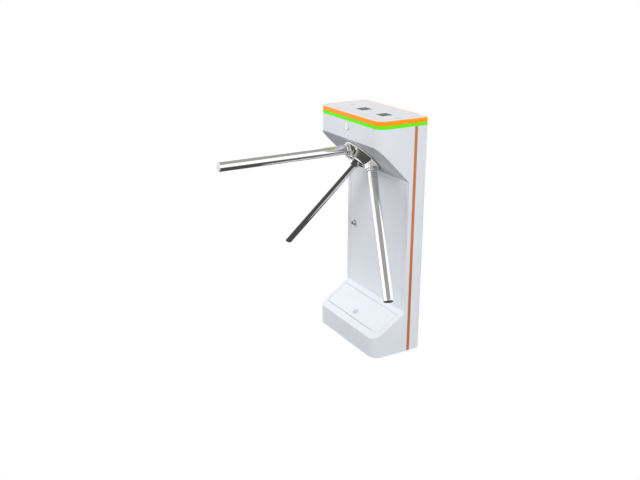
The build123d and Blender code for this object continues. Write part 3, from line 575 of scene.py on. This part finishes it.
def makeMarks():
    # plain chevrons at each end of the plate show which way to walk
    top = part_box("top_plate")[1].z
    bm = bmesh.new()
    for middle, y in marks["places"]:
        way = 1 if middle > 0 else -1
        for step in range(marks["chevrons"]):
            x = middle + way * step * marks["pitch"]
            reach = way * marks["reach"]
            stroke = way * marks["stroke"]
            half = marks["halfHeight"]
            front = ((0, -half), (stroke, -half), (stroke + reach, 0))
            corners = (*front, (stroke, half), (0, half), (reach, 0))
            face = bm.faces.new([bm.verts.new((x + px, y + py, top)) for px, py in corners])
            lifted = bmesh.ops.extrude_face_region(bm, geom=[face])
            raised = [part for part in lifted["geom"] if isinstance(part, bmesh.types.BMVert)]
            bmesh.ops.translate(bm, vec=(0, 0, marks["stand"]), verts=raised)
    bmesh.ops.recalc_face_normals(bm, faces=bm.faces)
    made = piece("direction_marks", bm, "lid", "top_panel")
    ink = Finish("markInk", {"Specular IOR Level": 0.4})
    colour = ink.mix(ink.grain(0.004), marks["colour"], marks["worn"])
    ink.paint(colour, 0.4 + 0.1 * ink.grain(0.001))
    made.data.materials[0] = ink.material


# Locks: a turned barrel with a rounded bezel, and a nut behind the panel
lock = {
    "bezelRadius": 0.013,
    "bezelHeight": 0.0026,
    "bezelEdge": 0.0010,
    "bodyRadius": 0.0094,
    "bore": 0.0060,
    "nutRadius": 0.0124,
    "nutHeight": 0.004,
    "steps": 64,
}
lockDepths = {                # how deep the body goes, and how thick the panel is
    "head_lock": (0.024, 0.002),
    "door_lock": (0.012, 0.0016),
    "cover_lock": (0.014, 0.0016),
}


def makeLocks():
    for name, (depth, panel) in lockDepths.items():
        bm = turned([
            (lock["bore"], lock["bezelHeight"]), (lock["bezelRadius"], lock["bezelHeight"]),
            (lock["bezelRadius"], 0), (lock["bodyRadius"], 0),
            (lock["bodyRadius"], -panel), (lock["nutRadius"], -panel),
            (lock["nutRadius"], -panel - lock["nutHeight"]),
            (lock["bodyRadius"], -panel - lock["nutHeight"]),
            (lock["bodyRadius"], -depth), (lock["bore"], -depth),
        ], lock["steps"])
        halfway = lock["bezelHeight"] / 2
        bezel = [edge for edge in sharpEdges(bm) if min(end.co.z for end in edge.verts) > halfway]
        roundEdges(bm, bezel, lock["bezelEdge"], 4)
        wrapAround(bm)
        joint = jointOf[name + "_turn"]
        placed(bm, facing(joint["pos_m"], -Vector(joint["axis"])))
        node = name + "_barrel"
        piece(node + "_turned", bm, bodyOf[node], slotOf[node], [node])
    print("locks")


# Tripod, in the hub's own frame: Z runs outwards along the shaft
spin = jointOf["tripod_spin"]
hubFrame = facing(spin["pos_m"], spin["axis"])
hub = {
    "lift": 0.001,
    "radius": 0.088,
    "rimHeight": 0.007,
    "rimEdge": 0.0022,
    "coneRadius": 0.068,
    "coneTop": 0.042,
    "height": 0.034,
    "bore": 0.015,
    "capRadius": 0.036,
    "capHeight": 0.006,
    "capEdge": 0.0042,
    "edge": 0.0012,
    "steps": 128,
}
boss = {
    "acrossFlats": 0.049,
    "start": 0.056,
    "end": 0.104,
    "edge": 0.0009,
    "segments": 3,
}
arm = {
    "apexDepth": 0.043,        # where the three arms meet, behind the slanted face
    "coneAngle": 45.0,
    "turns": (90.0, 210.0, 330.0),
    "radius": 0.019,
    "wall": 0.002,
    "start": 0.086,
    "tubeEnd": 0.651,
    "capEnd": 0.656,
    "capEdge": 0.0018,
    "plugLength": 0.014,
    "endEdge": 0.0005,
    "collarRadius": 0.0225,
    "collarEnd": 0.113,
    "collarEdge": 0.0012,
    "steps": 96,
}
seat = {
    "inner": 0.0888,
    "outer": 0.0928,
    "height": 0.002,
    "edge": 0.0007,
}


def armFrame(turn):
    # Z runs out along an arm from the apex
    tilt = radians(arm["coneAngle"])
    out = Vector((sin(tilt) * cos(radians(turn)), sin(tilt) * sin(radians(turn)), cos(tilt)))
    return hubFrame @ facing((0, 0, -arm["apexDepth"]), out, sideways(out))


def sideways(out):
    # level across an arm, at a right angle to it and to the shaft
    return Vector((-out.y, out.x, 0)).normalized()


def makeHub():
    base = hub["lift"]
    bm = turned([
        (hub["bore"], base), (hub["radius"], base), (hub["radius"], base + hub["rimHeight"]),
        (hub["coneRadius"], base + hub["rimHeight"]), (hub["coneTop"], hub["height"]),
        (hub["bore"], hub["height"]),
    ], hub["steps"])
    edges = sharpEdges(bm, 20)
    rim = [edge for edge in edges if edge.verts[0].co.xy.length > hub["coneRadius"] + 0.001]
    roundEdges(bm, rim, hub["rimEdge"], 4)
    edges = sharpEdges(bm, 20)
    top = [edge for edge in edges if abs(edge.verts[0].co.xy.length - hub["coneTop"]) < 0.0005]
    roundEdges(bm, top, hub["edge"], 3)
    wrapAround(bm)
    parts = [placed(bm, hubFrame)]
    for turn in arm["turns"]:
        parts.append(makeBoss(armFrame(turn)))
    body = piece("hub_body", joined(parts), "tripod", "polished_steel", ["tripod_hub"])
    body.data.materials[0] = makePolishedSteel("castSteel", polishedSteel["hubRoughness"])
    base = hub["height"]
    cap = turned([
        (0, base), (hub["capRadius"], base), (hub["capRadius"], base + hub["capHeight"] - 0.0004),
        (0, base + hub["capHeight"]),
    ], hub["steps"], closed=False)
    crown = [edge for edge in sharpEdges(cap) if edge.verts[0].co.z > base + hub["capHeight"] / 2]
    roundEdges(cap, crown, hub["capEdge"], 6)
    wrapAround(cap)
    piece("hub_cap_turned", placed(cap, hubFrame), "tripod", "polished_steel", ["hub_cap"])
    ring = turned([
        (seat["inner"], 0), (seat["outer"], 0),
        (seat["outer"], seat["height"]), (seat["inner"], seat["height"]),
    ], hub["steps"])
    lip = [edge for edge in sharpEdges(ring) if edge.verts[0].co.z > seat["height"] / 2]
    roundEdges(ring, lip, seat["edge"], 3)
    piece("hub_seat_turned", placed(ring, hubFrame), "cabinet", "seam_grey", ["hub_seat"])
    print("hub, cap and seat")


def makeBoss(place):
    # a hexagonal block along an arm, cut off where it would come out behind the hub
    bm = bmesh.new()
    corner = boss["acrossFlats"] / 2 / cos(pi / 6)
    bmesh.ops.create_circle(
        bm, cap_ends=True, radius=corner, segments=6,
        matrix=Matrix.Translation((0, 0, boss["start"])) @ Matrix.Rotation(pi / 6, 4, "Z"),
    )
    lifted = bmesh.ops.extrude_face_region(bm, geom=bm.faces[:])
    raised = [part for part in lifted["geom"] if isinstance(part, bmesh.types.BMVert)]
    bmesh.ops.translate(bm, vec=(0, 0, boss["end"] - boss["start"]), verts=raised)
    bmesh.ops.recalc_face_normals(bm, faces=bm.faces)
    roundEdges(bm, sharpEdges(bm), boss["edge"], boss["segments"])
    wrapAround(bm)
    placed(bm, place)
    outwards = Vector(spin["axis"])
    back = Vector(spin["pos_m"]) + outwards * (hub["lift"] + 0.0005)
    everything = bm.verts[:] + bm.edges[:] + bm.faces[:]
    cut = bmesh.ops.bisect_plane(
        bm, geom=everything, plane_co=back, plane_no=outwards, clear_inner=True,
    )
    rim = [part for part in cut["geom_cut"] if isinstance(part, bmesh.types.BMEdge)]
    if rim:
        bmesh.ops.edgenet_fill(bm, edges=rim)
    bmesh.ops.recalc_face_normals(bm, faces=bm.faces)
    return bm


def makeArms():
    inner = arm["radius"] - arm["wall"]
    caps = []
    collars = []
    for number, turn in enumerate(arm["turns"], 1):
        place = armFrame(turn)
        tube = turned([
            (inner, arm["start"]), (arm["radius"], arm["start"]),
            (arm["radius"], arm["tubeEnd"]), (inner, arm["tubeEnd"]),
        ], arm["steps"])
        roundEdges(tube, sharpEdges(tube), arm["endEdge"], 2)
        wrapAround(tube)
        piece(f"arm_{number}", placed(tube, place), "tripod", "polished_steel", [f"arm_tube_{number}"])
        cap = turned([
            (0, arm["tubeEnd"] - arm["plugLength"]), (inner, arm["tubeEnd"] - arm["plugLength"]),
            (inner, arm["tubeEnd"]), (arm["radius"], arm["tubeEnd"]), (arm["radius"], arm["capEnd"]),
            (0, arm["capEnd"]),
        ], arm["steps"], closed=False)
        crown = [edge for edge in sharpEdges(cap) if edge.verts[0].co.z > arm["tubeEnd"] + 0.001]
        roundEdges(cap, crown, arm["capEdge"], 4)
        wrapAround(cap)
        caps.append(placed(cap, place))
        collar = turned([
            (arm["radius"], boss["end"]), (arm["collarRadius"], boss["end"]),
            (arm["collarRadius"], arm["collarEnd"]), (arm["radius"], arm["collarEnd"]),
        ], arm["steps"])
        roundEdges(collar, sharpEdges(collar), arm["collarEdge"], 3)
        wrapAround(collar)
        collars.append(placed(collar, place))
    piece("arm_end_caps", joined(caps), "tripod", "polished_steel", ["arm_caps"])
    piece("arm_collar_rings", joined(collars), "tripod", "polished_steel", ["arm_collars"])
    print("arms")


# Everything else keeps its CAD form and takes its finish
def finishCarriedNodes():
    for name, node in nodes.items():
        node.data.materials.clear()
        node.data.materials.append(finishes[slotOf[name]])
    print("carried nodes:", sum(1 for node in nodes.values() if not node.hide_render))


# Floor, light and camera
studio = {
    "floor": (1.0, 1.0, 1.0, 1),
    "floorSize": 60.0,
    "floorGap": 0.0005,
    # brightness by the height of a direction, from straight down (0) to straight up (1): light is
    # what falls on the object, and mirror is what it reflects
    "light": (
        (0.0, 0.04), (0.42, 0.04), (0.48, 0.55), (0.60, 0.6),
        (0.66, 1.95), (0.77, 1.95), (0.84, 0.1), (1.0, 0.1),
    ),
    "mirror": ((0.0, 0.09), (0.29, 0.09), (0.42, 1.45), (0.81, 1.45), (0.86, 0.42), (1.0, 0.5)),
    "backdrop": 1.0,
}
lamps = {
    "frontSoftbox": {"place": (-1.6, -3.4, 1.0), "aim": (0, 0, 0.4), "size": 2.0, "watts": 25},
    "highSoftbox": {"place": (-1.2, -2.6, 3.4), "aim": (0, 0, 0.4), "size": 2.4, "watts": 15},
    "endSoftbox": {"place": (3.2, -0.6, 1.2), "aim": (0, 0, 0.4), "size": 2.0, "watts": 43},
    "farSoftbox": {"place": (-3.2, -1.0, 1.8), "aim": (0, 0, 0.6), "size": 2.0, "watts": 34},
    "backSoftbox": {"place": (-0.6, 3.4, 1.0), "aim": (0, 0, 0.5), "size": 2.0, "watts": 14},
}
camera = {
    "azimuth": 60.06,
    "elevation": 19.70,
    "distance": 3.3458,
    "lens": 44.985,
    "aim": (-0.0878, -0.1893, 0.4387),
}


def makeFloor():
    # pale paper that shines by itself, so that nothing is shaded by it and no shadow lies on it
    bm = bmesh.new()
    bmesh.ops.create_grid(bm, x_segments=1, y_segments=1, size=studio["floorSize"] / 2)
    mesh = bpy.data.meshes.new("floor")
    bm.to_mesh(mesh)
    bm.free()
    floor = bpy.data.objects.new("floor", mesh)
    floor.location.z = -studio["floorGap"]
    bpy.context.scene.collection.objects.link(floor)
    paper = Finish("floorPaper", {
        "Base Color": (0, 0, 0, 1), "Specular IOR Level": 0.0,
        "Emission Color": studio["floor"], "Emission Strength": studio["backdrop"],
    })
    clear = paper.node("BsdfTransparent")
    white = Socket(paper, paper.shader.outputs[0])
    underneath = paper.node("NewGeometry", output="Backfacing")     # clear, so the base can be seen
    shown = paper.node("MixShader", {}, {0: underneath, 1: white, 2: clear})
    paper.feed(paper.nodes["Material Output"].inputs["Surface"], shown)
    mesh.materials.append(paper.material)
    for ray in ("glossy", "diffuse", "transmission", "shadow"):
        setattr(floor, "visible_" + ray, False)


def makeStudio():
    makeFloor()
    for name, values in lamps.items():
        lamp = bpy.data.lights.new(name, "AREA")
        lamp.size = values["size"]
        lamp.energy = values["watts"]
        holder = bpy.data.objects.new(name, lamp)
        holder.location = values["place"]
        towards = Vector(values["aim"]) - holder.location
        holder.rotation_euler = towards.to_track_quat("-Z", "Y").to_euler()
        holder.visible_glossy = False       # reflections come from the world's mirror ramp
        bpy.context.scene.collection.objects.link(holder)
    makeWorld()
    print("studio")


def makeWorld():
    world = bpy.data.worlds.new("studioWorld")
    bpy.context.scene.world = world
    tree = Tree(world)
    direction = tree.node("TexCoord", output=0)
    height = 0.5 + 0.5 * tree.node("SeparateXYZ", {}, {"Vector": direction}, output=2)
    shades = {}
    for use in ("light", "mirror"):
        stops = [(place, grey(value)) for place, value in studio[use]]
        shades[use] = tree.node("ValToRGB", {"stops": stops}, {"Fac": height})
    colour = tree.mix(tree.node("LightPath", output="Is Glossy Ray"), shades["light"], shades["mirror"])
    colour = tree.mix(tree.node("LightPath", output="Is Camera Ray"), colour, grey(studio["backdrop"]))
    tree.feed(tree.nodes["Background"].inputs["Color"], colour)


def grey(value):
    return (value, value, value, 1)


def makeCamera():
    turn = radians(camera["azimuth"])
    rise = radians(camera["elevation"])
    back = Vector((sin(turn) * cos(rise), -cos(turn) * cos(rise), sin(rise)))
    lens = bpy.data.cameras.new("camera")
    lens.lens = camera["lens"]
    holder = bpy.data.objects.new("camera", lens)
    holder.location = Vector(camera["aim"]) + back * camera["distance"]
    holder.rotation_euler = (-back).to_track_quat("-Z", "Y").to_euler()
    bpy.context.scene.collection.objects.link(holder)
    bpy.context.scene.camera = holder
    bpy.context.scene.view_settings.view_transform = "Standard"
    print("camera")


makeCabinet()
makeLid()
makeLocks()
makeHub()
makeArms()
finishCarriedNodes()
makeStudio()
makeCamera()
